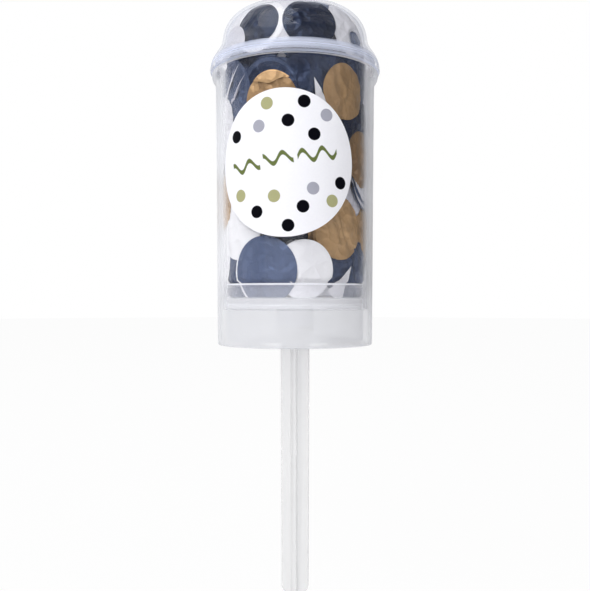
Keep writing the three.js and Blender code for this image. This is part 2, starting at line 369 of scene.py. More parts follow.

# %% [markdown]
# ## Clear and milky plastic
# A thin clear wall hardly bends what is behind it, but it mirrors the room, and more so where it
# is seen edge-on. So the plastic is a clear pane with a mirror over it, whose share grows towards
# the edges as it does on real plastic. Solid glass would bend the light twice at each wall and
# drown the dark tissue in reflections of the white studio. Moulded plastic isn't perfect either: a
# trace of haze lies over it, which adds up where one looks along the wall. The thick foot and the
# neck are cloudier, and slow waves from the mould bend the reflections. Milky plastic is the same
# recipe with more haze, on solid plastic that does bend the light.
# A few thin bands of full haze, on the rim of the cup and the steps of the dome's skirt, are painted
# highlights: white lines where those edges catch the light.

# %% A recipe for moulded plastic
clear_milk = srgb(247, 248, 251)
lilac_milk = srgb(224, 231, 252)
grey_milk = srgb(241, 241, 241)
face_tint = srgb(253, 253, 254)
edge_tint = srgb(236, 238, 243)
face_mirror = 0.012
edge_mirror = 0.6
wave_scale = 130.0
wave_depth = 0.3 * mm
wear_scale = 900.0
foggy_angles = 0.47, 0.77
lit_through = 0.2


def plastic(name, milk, haze, edge_haze, roughness, waves, cloudy, solid=False):
    """See-through plastic. `cloudy` lists stretches of its height, low and high, and their haze.
    A thin stretch of full haze is a painted highlight line, where an edge catches the light.
    """
    material, tree = new_tree(name)
    place = add(tree, "ShaderNodeTexCoord").outputs["Object"]
    slow = clouds(tree, place, wave_scale, 1.0)
    fine = clouds(tree, place, wear_scale, 3.0)
    uneven = add(
        tree, "ShaderNodeBump", {"Height": slow, "Strength": waves, "Distance": wave_depth},
    ).outputs[0]
    worn = rescaled(tree, fine, (0.3, 0.75), (roughness * 0.6, roughness * 1.6), smooth=False)
    edge_on = add(
        tree, "ShaderNodeLayerWeight", {"Blend": 0.5, "Normal": uneven},
    ).outputs["Facing"]
    grazing = maths(tree, "POWER", edge_on, 5.0)
    tint = blended(tree, grazing, face_tint, edge_tint)
    pane = add(tree, "ShaderNodeBsdfTransparent", {"Color": tint}).outputs[0]
    gloss = add(
        tree, "ShaderNodeBsdfGlossy",
        {"Color": (1, 1, 1, 1), "Roughness": worn, "Normal": uneven},
    ).outputs[0]
    mirror = maths(tree, "MULTIPLY_ADD", grazing, edge_mirror, face_mirror)
    clear = mixed(tree, mirror, pane, gloss)
    if solid:
        clear = add(
            tree, "ShaderNodeBsdfPrincipled",
            {"Base Color": face_tint, "Roughness": worn, "IOR": 1.35,
             "Transmission Weight": 1.0, "Normal": uneven},
        ).outputs[0]
    front = add(tree, "ShaderNodeBsdfDiffuse", {"Color": milk, "Normal": uneven}).outputs[0]
    through = add(tree, "ShaderNodeBsdfTranslucent", {"Color": milk}).outputs[0]
    cloud = mixed(tree, lit_through, front, through)
    amount = rescaled(tree, slow, (0.3, 0.7), (haze * 0.8, haze * 1.2), smooth=False)
    height = add(tree, "ShaderNodeSeparateXYZ", {"Vector": place}).outputs["Z"]
    for low, high, thick in cloudy:
        half = (high - low) / 2
        off_middle = maths(tree, "ABSOLUTE", maths(tree, "SUBTRACT", height, low + half), 0)
        edge = half - 0.15 * mm, half + 0.1 * mm
        amount = maths(tree, "MAXIMUM", amount, rescaled(tree, off_middle, edge, (thick, 0.0)))
    foggy = rescaled(tree, edge_on, foggy_angles, (0.0, edge_haze))
    amount = maths(tree, "MAXIMUM", amount, foggy)
    rays = add(tree, "ShaderNodeLightPath").outputs
    asking = maths(tree, "MAXIMUM", rays["Is Shadow Ray"], rays["Is Diffuse Ray"])
    straight = add(tree, "ShaderNodeBsdfTransparent", {"Color": face_tint}).outputs[0]
    finish_tree(tree, mixed(tree, asking, mixed(tree, amount, clear, cloud), straight))
    return material


# %% Give the moulded pieces their plastic
foot_low, ledge_height, cup_floor = 76 * mm, 86.7 * mm, 90 * mm
skirt_low, mouth_height = 157.5 * mm, 161.4 * mm
rim_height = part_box("piston_cup")[1][2]
stick_low, stick_high = -1 * mm, 79.8 * mm
flange_low, flange_high = 79.7 * mm, 81.3 * mm
# Of the skirt's bands, those at 0 to 0.5 mm and 2.1 to 2.5 mm above its foot are painted highlights,
# white lines on its steps; the others are its haze.
skirt_haze_and_highlights = (0, 0.5, 0.6), (0.5, 1.2, 0.12), (1.2, 2.1, 0.45), (2.1, 2.5, 1.0)
foot = [(foot_low, ledge_height, 0.38), (ledge_height, cup_floor + 0.4 * mm, 0.2)]
neck = [(skirt_low + 1.2 * mm, mouth_height, 0.15)]
skirt = [(skirt_low + low * mm, skirt_low + high * mm, thick) for low, high, thick in skirt_haze_and_highlights]
skirt.append((skirt_low + 2.5 * mm, mouth_height + 0.1 * mm, 0.47))
cup = [
    (0, ledge_height, 0.9), (ledge_height, cup_floor, 0.5), (cup_floor, rim_height, 0.19),
    # Painted highlight: a white line of full haze along the top of the rim.
    (rim_height - 0.6 * mm, rim_height, 1),
]
shaft = [(stick_low, stick_high, 0.52), (flange_low, flange_high, 1)]
clear_plastic = plastic("clear_plastic", clear_milk, 0.006, 0.6, 0.04, 0.05, foot + neck)
dome_plastic = plastic("dome_plastic", lilac_milk, 0.006, 0.1, 0.04, 0.04, skirt)
milky_plastic = plastic("milky_plastic", clear_milk, 0.025, 0, 0.12, 0.05, cup, solid=True)
stick_plastic = plastic("stick_plastic", grey_milk, 0.02, 0, 0.12, 0.03, shaft, solid=True)

for piece, material, body, slot in (
    (tube, clear_plastic, "barrel", "clear_plastic"),
    (dome, dome_plastic, "lid", "clear_plastic"),
    (piston, milky_plastic, "pusher", "milky_plastic"),
    (stick, stick_plastic, "pusher", "milky_plastic"),
):
    piece.data.materials.append(material)
    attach(piece, body)

# %% [markdown]
# ## The sticker
# The sticker is a round of coated paper wrapped on the tube. A flat disc is given a flat UV map in
# metres, then each of its points moves round the tube by its own width, so the print isn't
# stretched. The polka dots are printed, so they belong in the material: for each dot a node
# measures the distance from its middle. A few wavy streamers fill the band across the middle:
# their ink goes by the distance straight up to the wave, shortened because the wave slants. The
# back of the paper is moved far off on the map, where nothing is printed.

# %% Find the tube's skin
sticker_low, sticker_high = (Vector(corner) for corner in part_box("front_label"))
sticker_radius = (sticker_high.z - sticker_low.z) / 2
sticker_middle = (sticker_high.z + sticker_low.z) / 2
sticker_gap = 0.12 * mm
sticker_thickness = 0.15 * mm
ray_start = -0.1


def ray_target(piece):
    """The faces of a piece in a form that rays can be shot at."""
    return BVHTree.FromPolygons(
        [vert.co for vert in piece.data.vertices],
        [face.vertices[:] for face in piece.data.polygons],
    )


tube_skin = ray_target(tube)


def skin_radius(height):
    """The tube's outer radius at a height, found with a ray from outside."""
    hit = tube_skin.ray_cast(Vector((0, ray_start, height)), Vector((0, 1, 0)))[0]
    return -hit.y


print("tube radius behind the sticker:", round(skin_radius(sticker_middle) / mm, 2))


# %% A flat disc and its map
def disc_net(radius, rings, steps):
    """A flat disc in the XY plane as rings of faces, spun from one spoke."""
    shape = bmesh.new()
    spoke = [shape.verts.new((radius * i / rings, 0, 0)) for i in range(rings + 1)]
    for pair in zip(spoke, spoke[1:]):
        shape.edges.new(pair)
    spin_round(shape, steps)
    bmesh.ops.remove_doubles(shape, verts=shape.verts, dist=same_place)
    bmesh.ops.recalc_face_normals(shape, faces=shape.faces)
    return shape


def write_flat_map(shape, name):
    """A UV map that keeps each point's X and Y."""
    layer = shape.loops.layers.uv.new(name)
    for face in shape.faces:
        for loop in face.loops:
            loop[layer].uv = loop.vert.co.xy
    return layer


# %% Wrap a disc on the tube
shape = disc_net(sticker_radius, rings=16, steps=128)
print_layer = write_flat_map(shape, "print")
for vert in shape.verts:
    across, up, _ = vert.co
    radius = skin_radius(sticker_middle + up) + sticker_gap
    turn = across / skin_radius(sticker_middle)
    vert.co = (radius * math.sin(turn), -radius * math.cos(turn), sticker_middle + up)
bmesh.ops.recalc_face_normals(shape, faces=shape.faces)
if sum(face.normal.y for face in shape.faces) > 0:
    bmesh.ops.reverse_faces(shape, faces=shape.faces)
bmesh.ops.solidify(shape, geom=shape.faces[:], thickness=-sticker_thickness)
bmesh.ops.recalc_face_normals(shape, faces=shape.faces)
shape.normal_update()
for face in shape.faces:
    face.smooth = True
    out_of_axis = face.calc_center_median() * Vector((1, 1, 0))
    if face.normal.dot(out_of_axis) < 0:
        for loop in face.loops:
            loop[print_layer].uv += Vector((1, 0))
for edge in shape.edges:
    edge.smooth = edge.calc_face_angle(0) < math.radians(50)
sticker = new_object("round_sticker", mesh_of("round_sticker", shape))
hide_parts("front_label")
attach(sticker, "barrel")
print("sticker radius in millimetres:", round(sticker_radius / mm, 2))

# %% Print the sticker
dot_radius = 1.75 * mm
ink_edge = 0.06 * mm
olive = srgb(172, 171, 128)
black = srgb(4, 4, 12)
silver = srgb(168, 169, 182)
streamer_green = srgb(104, 116, 66)
dots = [
    (olive, [(-4.7, 16.4), (-13.3, -8.6), (-2.7, -9.2), (13.7, -10.4)]),
    (black, [
        (5.6, 16.7), (1.2, 11.5), (8.4, 7.8), (-14.8, 8.1), (16.3, -5.3), (-7.8, -13.4),
        (5.3, -12.1), (1.2, -17.3),
    ]),
    (silver, [(11.9, 13.2), (-7.1, 10.3), (8.1, -7.1)]),
]

sticker_paper, tree = new_tree("sticker_paper")
spot = add(tree, "ShaderNodeUVMap", uv_map="print").outputs[0]
fibre = clouds(tree, spot, 1600.0, 3.0)
colour = blended(tree, fibre, srgb(243, 243, 250), srgb(249, 249, 253))


def inked(tree, under, ink, distance, radius):
    """Ink laid over a colour wherever a distance is under a radius, with a soft edge."""
    edge = radius - ink_edge, radius + ink_edge
    return blended(tree, rescaled(tree, distance, edge, (1.0, 0.0), smooth=False), under, ink)


for ink, places in dots:
    for across, up in places:
        middle = (across * mm, up * mm, 0)
        away = add(tree, "ShaderNodeVectorMath", {0: spot, 1: middle}, operation="DISTANCE")
        colour = inked(tree, colour, ink, away.outputs["Value"], dot_radius)

# %% Streamers across the middle
streamers = [(-11.4, -0.6, 9.2, 1.3), (-1.6, 1.2, 8.4, 1.3), (9.4, 2.4, 11.4, 1.5)]
streamer_slope = math.radians(9)
wave_length = 5.6
stroke = 0.4
slant_share = 0.6

for across, up, length, swing in streamers:
    turned_spot = add(
        tree, "ShaderNodeMapping",
        {"Vector": spot, "Location": (across * mm, up * mm, 0), "Rotation": (0, 0, streamer_slope)},
        vector_type="TEXTURE",
    ).outputs[0]
    along, height, _ = add(tree, "ShaderNodeSeparateXYZ", {"Vector": turned_spot}).outputs
    phase = maths(tree, "MULTIPLY", along, 2 * math.pi / (wave_length * mm))
    wave = maths(tree, "MULTIPLY", maths(tree, "SINE", phase, 0), swing * mm)
    off_line = maths(tree, "ABSOLUTE", maths(tree, "SUBTRACT", height, wave), 0)
    narrowed = maths(tree, "MULTIPLY", off_line, slant_share)
    from_middle = maths(tree, "ABSOLUTE", along, 0)
    past_end = maths(tree, "SUBTRACT", from_middle, (length / 2 - stroke) * mm)
    far = maths(tree, "MAXIMUM", narrowed, past_end)
    colour = inked(tree, colour, streamer_green, far, stroke * mm)

coat = add(
    tree, "ShaderNodeBump", {"Height": fibre, "Strength": 0.05, "Distance": 0.05 * mm},
).outputs[0]
finish_tree(tree, add(
    tree, "ShaderNodeBsdfPrincipled",
    {"Base Color": colour, "Roughness": 0.5, "Specular IOR Level": 0.05, "Normal": coat},
).outputs[0])
sticker.data.materials.append(sticker_paper)
print("dots printed:", sum(len(places) for _, places in dots))

# %% [markdown]
# ## Room for the tissue
# Tissue fills the tube up to the top of the dome, so it has to know where the plastic is. A place
# is a direction round the axis, a way up the wall and a reach. In the tube, the way up is the
# height and the reach is the distance from the axis. Under the dome they are an angle and a
# distance from the middle of its foot, as on a globe, so that sheets can lie over the top. Rays
# shot outwards find the plastic. Any point of a disc that would be outside is pressed back
# against the wall, as real tissue is.

# %% Direction, way up the wall and reach
globe_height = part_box("barrel")[1][2]
globe_radius = 16 * mm
way_top = globe_height + globe_radius * math.pi / 2


def polar(point):
    """Direction, way up the wall, and reach from the axis or, under the dome, from its foot."""
    across = math.hypot(point.x, point.y)
    azimuth = math.atan2(point.x, -point.y)
    up = point.z - globe_height
    if up <= 0:
        return azimuth, point.z, across
    return azimuth, globe_height + globe_radius * math.atan2(up, across), math.hypot(up, across)


def from_polar(azimuth, way, reach):
    """The point at a direction, way up the wall and reach."""
    tilt = max(way - globe_height, 0) / globe_radius
    across = reach * math.cos(tilt)
    height = min(way, globe_height) + reach * math.sin(tilt)
    return Vector((across * math.sin(azimuth), -across * math.cos(azimuth), height))


# %% Measure the inside
wall_gap = 0.12 * mm
step_up = 0.25 * mm
cup_depth = 4.4 * mm
probe_azimuth = 1.56
inner_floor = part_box("piston_cup")[1][2] - cup_depth
walls = [ray_target(piece) for piece in (tube, dome, piston)]


def measured_reach(way):
    """How far it is to the nearest plastic at one way up the wall."""
    start = from_polar(0, way, 0)
    ahead = (from_polar(probe_azimuth, way, 1) - start).normalized()
    hits = [wall.ray_cast(start, ahead)[3] for wall in walls]
    return min((hit for hit in hits if hit), default=0)


room_count = int((way_top - inner_floor) / step_up)
room_table = [measured_reach(inner_floor + (i + 0.5) * step_up) for i in range(room_count)]


def room_at(way):
    """The inner reach at a way up the wall, the smaller of the two nearest measurements."""
    at = (way - inner_floor) / step_up - 0.5
    low = min(max(int(at), 0), room_count - 1)
    high = min(low + 1, room_count - 1)
    return min(room_table[low], room_table[high]) - wall_gap


def way_to(height):
    """The way up the wall at which the wall comes to a height."""
    ways = (inner_floor + i * step_up for i in range(room_count))
    return next(way for way in ways if from_polar(0, way, room_at(way)).z >= height)


print("way up from", round(inner_floor / mm, 1), "to", round(way_top / mm, 1), "mm")
print("least and greatest reach:", round(min(room_table) / mm, 2), round(max(room_table) / mm, 2))

# %% [markdown]
# ## Sheets that never cross
# Real discs press on each other but never pass through each other. A simulation of hundreds of
# sheets would be slow. A depth map does the same job here: a grid on the wall holds, for each
# direction and way up, how far out there is still room. Discs are laid from the wall inwards. Each
# point goes where it wants to be, or just behind what already lies there, and then becomes the new
# limit. So a deeper disc drapes over the edges of those in front, which gives natural folds.

# %% The depth map
sheet_gap = 0.11 * mm
cells_round = 400
cell_height = 0.35 * mm
cell_rows = int((way_top - inner_floor) / cell_height) + 1
depth_map = [
    [room_at(inner_floor + (row + 0.5) * cell_height)] * cells_round for row in range(cell_rows)
]


def cell_of(azimuth, way):
    """The row and column of the depth map at a direction and a way up the wall."""
    row = int((way - inner_floor) / cell_height)
    column = int(azimuth / (2 * math.pi) * cells_round) % cells_round
    return min(max(row, 0), cell_rows - 1), column


def cells_beside(way):
    """How many cells to each side count as near; they get narrow towards the dome's top."""
    tilt = max(way - globe_height, 0) / globe_radius
    return min(round(1 / max(math.cos(tilt), 0.01)), cells_round // 2)


def free_reach(azimuth, way):
    """How far out a point may go: the least over the cell and its neighbours."""
    row, column = cell_of(azimuth, way)
    rows = range(max(row - 1, 0), min(row + 2, cell_rows))
    beside = cells_beside(way)
    return min(
        depth_map[r][(column + step) % cells_round]
        for r in rows for step in range(-beside, beside + 1)
    )


def lay_on_map(faces):
    """Lowers the depth map to a laid sheet, at the corners and middles of its faces."""
    for face in faces:
        corners = [loop.vert.co for loop in face.loops]
        middle = face.calc_center_median()
        for point in [*corners, middle, *((corner + middle) / 2 for corner in corners)]:
            azimuth, way, reach = polar(point)
            row, column = cell_of(azimuth, way)
            depth_map[row][column] = min(depth_map[row][column], reach - sheet_gap)


print("depth map:", cell_rows, "rows of", cells_round)

# %% [markdown]
# ## A crumpled disc
# Crumpled tissue has sharp ridges with nearly flat facets between them. Cell noise has just such
# a pattern, so a turbulence of it gives the ridges; a few straight creases, long pleats and a slow
# curl are added, because a punched disc bends as a whole too. Some discs are torn: the mesh is cut
# along a line, and what lies past the cut is left off. The disc keeps a UV map of its own flat
# shape, so the finest wrinkles keep their size however the paper bends.

# %% A flat disc and its tears
disc_radius = 8.1 * mm
leaf_thickness = 0.04 * mm


def pattern_disc(name, rings, steps):
    """A flat disc of radius 1 that the sheets are copied from."""
    shape = disc_net(1, rings, steps)
    write_flat_map(shape, "sheet")
    return mesh_of(name, shape)


fine_disc = pattern_disc("fine_disc", rings=12, steps=48)
coarse_disc = pattern_disc("coarse_disc", rings=7, steps=26)


def line_at(turn):
    """The unit vector in the XY plane at an angle."""
    return Vector((math.cos(turn), math.sin(turn), 0))


def tear_off(shape, first, first_face, turn, offset):
    """Removes what lies past a line of the newest disc, given by its direction and its offset."""
    line = line_at(turn)
    parts = shape.verts[first:] + shape.faces[first_face:]
    edges = {edge for face in shape.faces[first_face:] for edge in face.edges}
    bmesh.ops.bisect_plane(
        shape, geom=parts + list(edges), dist=0.001, plane_co=line * offset, plane_no=line,
        clear_outer=True,
    )
    shape.verts.ensure_lookup_table()
    shape.faces.ensure_lookup_table()


# %% Crumple one disc
def crumple(dice, ridges, creases, curl, pleats):
    """A function of a point of the unit disc that gives its height in metres, never above 0."""
    lines = [
        (line_at(dice.uniform(0, math.pi)), dice.uniform(-0.7, 0.7), dice.uniform(0.3, 1) * creases)
        for _ in range(3)
    ]
    curl_line = line_at(dice.uniform(0, math.pi))
    pleat_size, pleat_way, pleat_count = pleats
    pleat_line = line_at(pleat_way)
    seed = Vector((dice.uniform(0, 90), dice.uniform(0, 90), dice.uniform(0, 90)))

    def height(spot):
        creased = sum(size * abs(spot.dot(line) - offset) for line, offset, size in lines)
        rolled = curl * spot.dot(curl_line) ** 2
        cells = noise.turbulence(spot * 1.1 + seed, 3, True, noise_basis="VORONOI_F2F1")
        slow = noise.noise(spot * 1.7 + seed)
        phase = pleat_count * spot.dot(pleat_line) + 1.2 * noise.noise(spot * 1.3 + seed)
        pleated = pleat_size * abs(math.sin(math.pi * phase))
        return -(creased + rolled + pleated + ridges * (cells + 0.8 * slow + 0.8))

    return height


# %% Lay one disc
def add_sheet(
    shape, pattern, dice, place, ridges, creases, curl,
    radius=disc_radius, tears=(), pleats=(0, 0, 0), tone=None,
):
    """Adds one crumpled disc; `place` turns a point of it, in metres, into a place in the tube."""
    first, first_face = len(shape.verts), len(shape.faces)
    shape.from_mesh(pattern)
    shape.verts.ensure_lookup_table()
    shape.faces.ensure_lookup_table()
    for turn, offset in tears:
        tear_off(shape, first, first_face, turn, offset)
    height = crumple(dice, ridges, creases, curl, pleats)
    for vert in shape.verts[first:]:
        spot = Vector((vert.co.x, vert.co.y, 0))
        azimuth, way, out = polar(place(spot * radius + Vector((0, 0, height(spot)))))
        way = max(way, inner_floor + wall_gap)
        vert.co = from_polar(azimuth, way, min(out, free_reach(azimuth, way)))
    faces = shape.faces[first_face:]
    lay_on_map(faces)
    finish_sheet(shape, faces, dice, tone)


def finish_sheet(shape, faces, dice, tone):
    """Smooths a sheet but for its rim, and gives it its own tone and direction of grain."""
    grain = shape.loops.layers.uv["sheet"]
    tones = shape.faces.layers.float["tone"]
    spin = Matrix.Rotation(dice.uniform(0, 2 * math.pi), 2)
    shift = Vector((dice.uniform(0, 40), dice.uniform(0, 40)))
    if tone is None:
        tone = dice.uniform(0.05, 0.5)
    for face in faces:
        face.smooth = True
        face[tones] = tone
        for loop in face.loops:
            loop[grain].uv = spin @ loop[grain].uv + shift
            if loop.edge.is_boundary:
                loop.edge.smooth = False


def sheets_object(name, shape, colour):
    """Makes an object of tissue from a shape full of sheets, which rides on the piston."""
    made = new_object(name, mesh_of(name, shape))
    made.data.materials.append(tissues[colour])
    leaf = made.modifiers.new("leaf", "SOLIDIFY")
    leaf.thickness = leaf_thickness
    leaf.offset = 0
    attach(made, "pusher")
    return made


def empty_shape():
    """A shape that is ready to take sheets."""
    shape = bmesh.new()
    shape.loops.layers.uv.new("sheet")
    shape.faces.layers.float.new("tone")
    return shape


# %% [markdown]
# ## Tissue colours
# The discs are navy, bronze-gold and white tissue. Each colour is a thin paper that lets some
# light through. Its finest wrinkles are too small to model, so a bump makes them: a cell pattern
# for the crumple, and a stretched ridge noise for the long fine pleats. The creases are made a
# little paler in the colour, a painted highlight where they would catch the light. Every disc has
# its own tone, so two that overlap don't melt together.

# %% A recipe for tissue
def tissue(name, dark, light, sheen, roughness, shine, tint, glow, wrinkling):
    """Thin crumpled tissue between two colours, with a metal-like sheen and some light through."""
    material, tree = new_tree(name)
    flat = add(tree, "ShaderNodeUVMap", uv_map="sheet").outputs[0]
    bent = add(tree, "ShaderNodeTexNoise", {"Vector": flat, "Scale": 1.6, "Detail": 2.0}).outputs[1]
    wandering = add(
        tree, "ShaderNodeVectorMath", {0: bent, 1: (0.7, 0.7, 0.7), 2: flat},
        operation="MULTIPLY_ADD",
    ).outputs[0]
    stretched = add(
        tree, "ShaderNodeMapping", {"Vector": wandering, "Scale": (0.8, 3.4, 1)},
    ).outputs[0]
    pleats = add(
        tree, "ShaderNodeTexNoise",
        {"Vector": stretched, "Scale": 1.0, "Detail": 3.0, "Roughness": 0.5},
        noise_type="RIDGED_MULTIFRACTAL",
    ).outputs[0]
    pleat = rescaled(tree, pleats, (0.6, 2.2), (0, 1), smooth=False)
    # Painted highlight: the ridges of the pleats are made paler in the colour, where creases catch
    # the light.
    crease_highlight = maths(tree, "POWER", pleat, 2.5)
    facets = add(
        tree, "ShaderNodeTexVoronoi", {"Vector": wandering, "Scale": 2.3}, feature="F1",
    ).outputs["Distance"]
    tone = add(tree, "ShaderNodeAttribute", attribute_name="tone").outputs["Fac"]
    cloudy = clouds(tree, flat, 1.3, 3.0)
    mottled = maths(tree, "MULTIPLY_ADD", cloudy, 0.4, maths(tree, "SUBTRACT", tone, 0.2))
    blend = maths(tree, "MULTIPLY_ADD", crease_highlight, 0.3, mottled)
    colour = blended(tree, blend, dark, light)
    height = maths(tree, "ADD", facets, maths(tree, "MULTIPLY", pleat, 0.6))
    wrinkled = add(
        tree, "ShaderNodeBump", {"Height": height, "Strength": wrinkling, "Distance": 1.1 * mm},
    ).outputs[0]
    paper = add(
        tree, "ShaderNodeBsdfPrincipled",
        {"Base Color": colour, "Metallic": sheen, "Roughness": roughness,
         "Specular IOR Level": shine, "Specular Tint": tint, "Normal": wrinkled},
    ).outputs[0]
    through = add(
        tree, "ShaderNodeBsdfTranslucent", {"Color": colour, "Normal": wrinkled},
    ).outputs[0]
    finish_tree(tree, mixed(tree, glow, paper, through))
    return material


navy_ends = srgb(3, 8, 34), srgb(122, 138, 174)
gold_ends = srgb(84, 58, 34), srgb(230, 188, 136)
white_ends = srgb(190, 189, 200), srgb(254, 254, 255)
blue_shine, warm_shine, plain_shine = (0.45, 0.62, 1, 1), (1, 0.85, 0.6, 1), (1, 1, 1, 1)
tissues = {
    "navy": tissue("navy_tissue", *navy_ends, 0.15, 0.3, 0.5, blue_shine, 0.06, 0.7),
    "gold": tissue("gold_tissue", *gold_ends, 0.3, 0.34, 0.5, warm_shine, 0.1, 0.55),
    "white": tissue("white_tissue", *white_ends, 0.0, 0.5, 0.4, plain_shine, 0.12, 0.4),
}

# %% [markdown]
# ## The discs in front
# The discs against the front of the tube give this pop its look, so they are laid one by one, as
# they lie in the photograph. They go first, and each one lies behind those before it. A place on
# the wall is a direction in degrees, 0 at the front and more to the right, and a height.

# %% Places on the wall and under the dome
dome_bend = 18 * mm
front_gap = 0.1 * mm


def on_wall(azimuth, middle_height, radius, lean):
    """Places a point of a disc on an upright cylinder; the disc's height is outwards."""
    def place(point):
        out = radius + point.z + lean * point.y
        way = min(middle_height + point.y, globe_height)
        return from_polar(azimuth + point.x / radius, way, out)
    return place


def on_dome(azimuth, way, reach):
    """Places a point of a disc under the dome, square to its wall and bent as the dome is."""
    foot_middle = Vector((0, 0, globe_height))
    outwards = (from_polar(azimuth, way, 1) - foot_middle).normalized()
    sideways = line_at(azimuth)
    upwards = sideways.cross(outwards) * -1

    def place(point):
        lift = point.z - (point.x ** 2 + point.y ** 2) / (2 * dome_bend)
        return foot_middle + outwards * (reach + lift) + sideways * point.x + upwards * point.y

    return place


front_discs = []


def lay(name, colour, place, size=8.1, ridges=0.15, **look):
    """Lays one disc in the place that is given; its size and ridges are in millimetres."""
    front_discs.append(name)
    shape = empty_shape()
    look = {"creases": 0.15 * mm, "curl": 0.3 * mm, **look}
    dice = random.Random(name)
    add_sheet(shape, fine_disc, dice, place, ridges=ridges * mm, radius=size * mm, **look)
    sheets_object(name, shape, colour)


def lay_front(name, colour, degrees, height, size=8.1, **look):
    """Lays one disc on the wall of the tube, at a height in millimetres."""
    reach = room_at(height * mm) - front_gap
    lay(name, colour, on_wall(math.radians(degrees), height * mm, reach, 0), size, **look)


def lay_domed(name, colour, degrees, height, size=8.1, ridges=0.3, **look):
    """Lays one disc under the dome, at a height in millimetres."""
    way = way_to(height * mm)
    lay(name, colour, on_dome(math.radians(degrees), way, room_at(way)), size, ridges, **look)


def lay_point(name, colour, degrees, height, size, axis, half_width, **look):
    """Lays a torn scrap: its tip is at a place, and it widens along an axis, in degrees."""
    sides = axis - half_width - 90, axis + half_width + 90
    tears = [(math.radians(side), 0) for side in sides]
    lay_front(name, colour, degrees, height, size, tears=tears, **look)


# %% Lay the discs under the dome
lay_domed("dome_scrap", "white", -50, 162.4, 6.6, tears=[(-1.57, 0.1)], tone=0.35)
lay_domed("dome_left_navy", "navy", -25.5, 167.6, 7.0, ridges=0.06, creases=0, tone=-0.15)
lay_domed("dome_front_navy", "navy", 19.4, 167.8, 7.7, ridges=0.05, creases=0, curl=0, tone=0.0)
lay_domed("dome_small_navy", "navy", 66, 164.4, 3.4, ridges=0.4, tone=0.4)
lay_domed("dome_crescent", "white", -23.5, 167.5, 8.2, ridges=0.06, creases=0, tone=0.9)
lay_domed("dome_left_white", "white", -64, 169, 8.6, ridges=0.1, tone=0.7)
lay_domed("dome_right_white", "white", 62, 168.6, 8.6, tone=0.6)
lay_domed("dome_middle_white", "white", -2, 170.5, 8.4, ridges=0.2, tone=0.5)
lay_domed("dome_side_navy", "navy", -104, 167, tone=0.15)
lay_domed("dome_side_gold", "gold", 112, 167, tone=0.4)
lay_domed("dome_back_navy", "navy", 163, 167, tone=0.2)
lay_domed("dome_back_white", "white", 210, 166, ridges=0.2, tone=0.7)
lay_domed("dome_top_gold", "gold", 100, 175.5, tone=0.3)
lay_domed("dome_top_navy", "navy", -80, 175.3, tone=0.25)
lay_domed("dome_top_white", "white", 200, 174.6, ridges=0.2, tone=0.5)
lay_domed("dome_top_blue", "navy", 35, 174.4, tone=0.4)

# %% Lay the discs above the sticker
# Painted reflections: thin pale scraps laid as the long diagonal glints of the plastic over the dark
# tissue at the upper left.
painted_glint_scraps = [
    (-38.5, 156.8, 11.5, 225, 3, 0.4), (-32, 153.6, 8, 226, 3, 0.0), (-44, 156.2, 6, 232, 4, -0.2),
    (-38, 150.5, 6, 222, 6, -0.3),
]
for i, (degrees, height, size, axis, half_width, tone) in enumerate(painted_glint_scraps):
    lay_point(f"streak_{i + 1}", "white", degrees, height, size, axis, half_width, tone=tone)
# Painted light and shade on one folded gold disc: gold_lobe is its lit upper part, gold_rim a
# painted highlight along its top edge, and gold_inside, in a darker tone, painted shade under the
# fold.
lay_front("gold_lobe", "gold", -10.8, 145.3, 8.0, tears=[(-1.8, -0.55), (-1.2, -0.55)], tone=0.7)
lay_front("gold_rim", "gold", -10.8, 145.5, 8.2, tears=[(-1.57, -0.72)], tone=1.1)
lay_front("gold_side", "gold", -11.2, 145.2, 8.2, tears=[(0.25, -0.3)], ridges=0.3, tone=0.55)
lay_front("gold_inside", "gold", -10.5, 145.2, 8.0, ridges=0.4, tone=0.4)
lay_front("gold_upright", "gold", 49, 148.8, 8.0, ridges=0.2, pleats=(0.3 * mm, 0, 1.2), tone=0.4)
lay_front("left_pale", "white", -70, 141.4, 8.6, pleats=(0.4 * mm, 0.4, 2.6), tone=0.6)
lay_front("left_streaked", "navy", -55, 149, 10.5, pleats=(0.9 * mm, 0.45, 3.2), tone=0.3)
lay_point("white_point", "white", 21.3, 151.4, 8, 290, 15, tone=0.6)
# Painted highlight: slate_rim's lighter tone makes a pale ring between the darker slate discs, where
# their curved fold catches the light.
lay_front("slate_inner", "navy", -13, 147.6, 8.6, ridges=0.3, pleats=(0.4 * mm, 1.3, 2.0), tone=0.1)
lay_front("slate_rim", "navy", -13.5, 148.4, 8.9, ridges=0.3, tone=0.32)
lay_front("slate_round", "navy", -15, 148.4, 9.8, ridges=0.5, pleats=(0.5 * mm, 1.3, 2.0), tone=0.15)
lay_front("middle_navy", "navy", 17, 149.4, 9.4, ridges=0.5, creases=0.5 * mm, tone=0.1)
lay_front("upper_navy", "navy", 36, 154.5, 9.0, ridges=0.6, creases=0.5 * mm, tone=0.1)
lay_front("upper_right_navy", "navy", 66, 155, 8.6, ridges=0.4, creases=0.3 * mm, tone=0.1)

# %% Lay the discs beside the sticker
lay_front("right_tan", "gold", 73, 130.6, 8.3, ridges=0.3, pleats=(0.3 * mm, 0, 1.5), tone=0.25)
lay_front("right_navy", "navy", 68, 140.4, 8.5, ridges=0.4, tone=-0.1)
lay_front("left_tan", "gold", -72, 118.5, 8.3, ridges=0.2, tone=0.5)
lay_front("left_white", "white", -80, 135, 8.6, ridges=0.2, tone=0.9)

